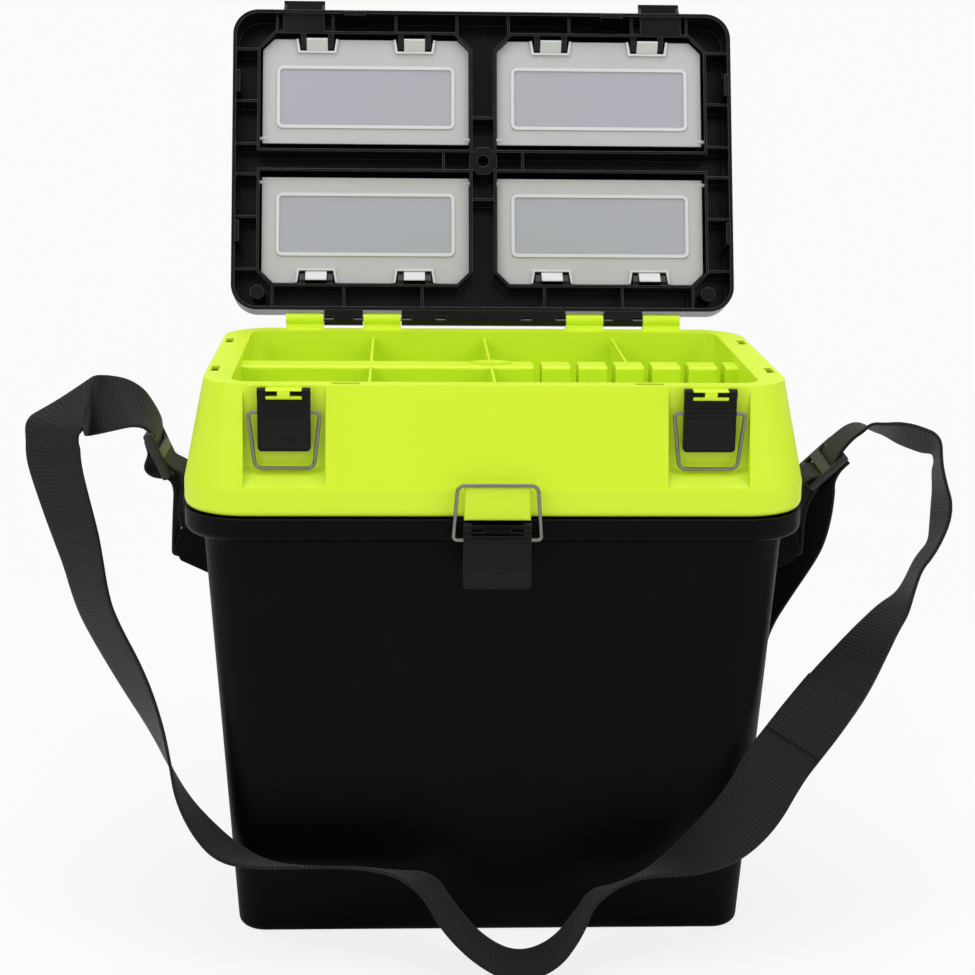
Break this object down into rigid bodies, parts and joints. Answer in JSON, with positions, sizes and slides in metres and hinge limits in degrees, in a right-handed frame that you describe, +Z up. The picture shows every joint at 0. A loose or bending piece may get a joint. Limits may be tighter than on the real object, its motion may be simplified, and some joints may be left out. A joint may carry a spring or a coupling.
{
  "type": "fishing seat box",
  "caption": "Fishing seat box: tapered bucket, hinged compartment tray and hinged seat lid with covered bays, over-centre latches and a webbing shoulder strap.",
  "frame": {"origin": "centre of the bucket's base, on the ground", "axes": "+Z up, -Y to the front where the latches are, +X to the right seen from the front"},
  "size_m": [0.5919, 0.3782, 0.5838],
  "materials": {
    "lime_shell": "satin moulded polypropylene",
    "black_bucket": "satin moulded polypropylene",
    "black_lid": "glossy moulded plastic",
    "grey_cover": "semi-matte moulded plastic",
    "black_lever": "satin moulded plastic",
    "steel_wire": "bright drawn wire",
    "steel_pin": "drawn rod",
    "black_webbing": "woven polypropylene webbing",
    "black_slide": "moulded acetal"
  },
  "bodies": {
    "bucket": {"bucket": "black_bucket", "latch_bracket_center": "black_bucket", "strap_lug_left": "black_bucket", "strap_lug_right": "black_bucket", "tray_hinge_pin_left": "steel_pin", "tray_hinge_pin_right": "steel_pin", "strap_slide_left": "black_slide", "strap_slide_right": "black_slide", "strap_anchor_left": "black_webbing", "strap_anchor_right": "black_webbing", "strap_sling": "black_webbing", "strap_overlap": "black_webbing", "strap_tail": "black_webbing"},
    "tray": {"tray": "lime_shell", "latch_bracket_left": "lime_shell", "latch_bracket_right": "lime_shell", "closing_tongue": "lime_shell", "lid_hinge_pin_left": "steel_pin", "lid_hinge_pin_right": "steel_pin"},
    "lid": {"seat_lid": "black_lid"},
    "center_lever": {"latch_lever_center": "black_lever"},
    "center_bail": {"latch_bail_center": "steel_wire"},
    "left_lever": {"latch_lever_left": "black_lever"},
    "left_bail": {"latch_bail_left": "steel_wire"},
    "right_lever": {"latch_lever_right": "black_lever"},
    "right_bail": {"latch_bail_right": "steel_wire"},
    "upper_left_cover": {"bay_cover_upper_left": "grey_cover"},
    "lower_left_cover": {"bay_cover_lower_left": "grey_cover"},
    "upper_right_cover": {"bay_cover_upper_right": "grey_cover"},
    "lower_right_cover": {"bay_cover_lower_right": "grey_cover"}
  },
  "joints": [
    {"name": "tray_hinge", "type": "hinge", "parent": "bucket", "child": "tray", "pos_m": [0, 0.126, 0.2828], "axis": [-1, 0, 0], "range_deg": [0, 95]},
    {"name": "lid_hinge", "type": "hinge", "parent": "tray", "child": "lid", "pos_m": [0, 0.117, 0.3673], "axis": [-1, 0, 0], "range_deg": [-109.3, 0]},
    {"name": "center_lever_swing", "type": "hinge", "parent": "bucket", "child": "center_lever", "pos_m": [0, -0.126, 0.2792], "axis": [1, 0, 0], "range_deg": [-110, 0]},
    {"name": "center_bail_swing", "type": "hinge", "parent": "center_lever", "child": "center_bail", "pos_m": [0, -0.126, 0.2718], "axis": [1, 0, 0], "range_deg": [0, 132]},
    {"name": "left_lever_swing", "type": "hinge", "parent": "tray", "child": "left_lever", "pos_m": [-0.127, -0.112, 0.3582], "axis": [1, 0, 0], "range_deg": [-110, 0]},
    {"name": "left_bail_swing", "type": "hinge", "parent": "left_lever", "child": "left_bail", "pos_m": [-0.127, -0.112, 0.3465], "axis": [-1, 0, 0], "range_deg": [0, 175]},
    {"name": "upper_left_cover_swing", "type": "hinge", "parent": "lid", "child": "upper_left_cover", "pos_m": [-0.083, 0.16358, 0.48852], "axis": [1, 0, 0], "range_deg": [0, 95]},
    {"name": "lower_left_cover_swing", "type": "hinge", "parent": "lid", "child": "lower_left_cover", "pos_m": [-0.083, 0.1532, 0.45888], "axis": [-1, 0, 0], "range_deg": [0, 95]},
    {"name": "right_lever_swing", "type": "hinge", "parent": "tray", "child": "right_lever", "pos_m": [0.127, -0.112, 0.3582], "axis": [1, 0, 0], "range_deg": [-110, 0]},
    {"name": "right_bail_swing", "type": "hinge", "parent": "right_lever", "child": "right_bail", "pos_m": [0.127, -0.112, 0.3465], "axis": [-1, 0, 0], "range_deg": [0, 175]},
    {"name": "upper_right_cover_swing", "type": "hinge", "parent": "lid", "child": "upper_right_cover", "pos_m": [0.083, 0.16358, 0.48852], "axis": [1, 0, 0], "range_deg": [0, 95]},
    {"name": "lower_right_cover_swing", "type": "hinge", "parent": "lid", "child": "lower_right_cover", "pos_m": [0.083, 0.1532, 0.45888], "axis": [-1, 0, 0], "range_deg": [0, 95]}
  ],
  "couplings": [
    {"joint": "center_bail_swing", "follows": "center_lever_swing", "ratio": -1.2}
  ]
}
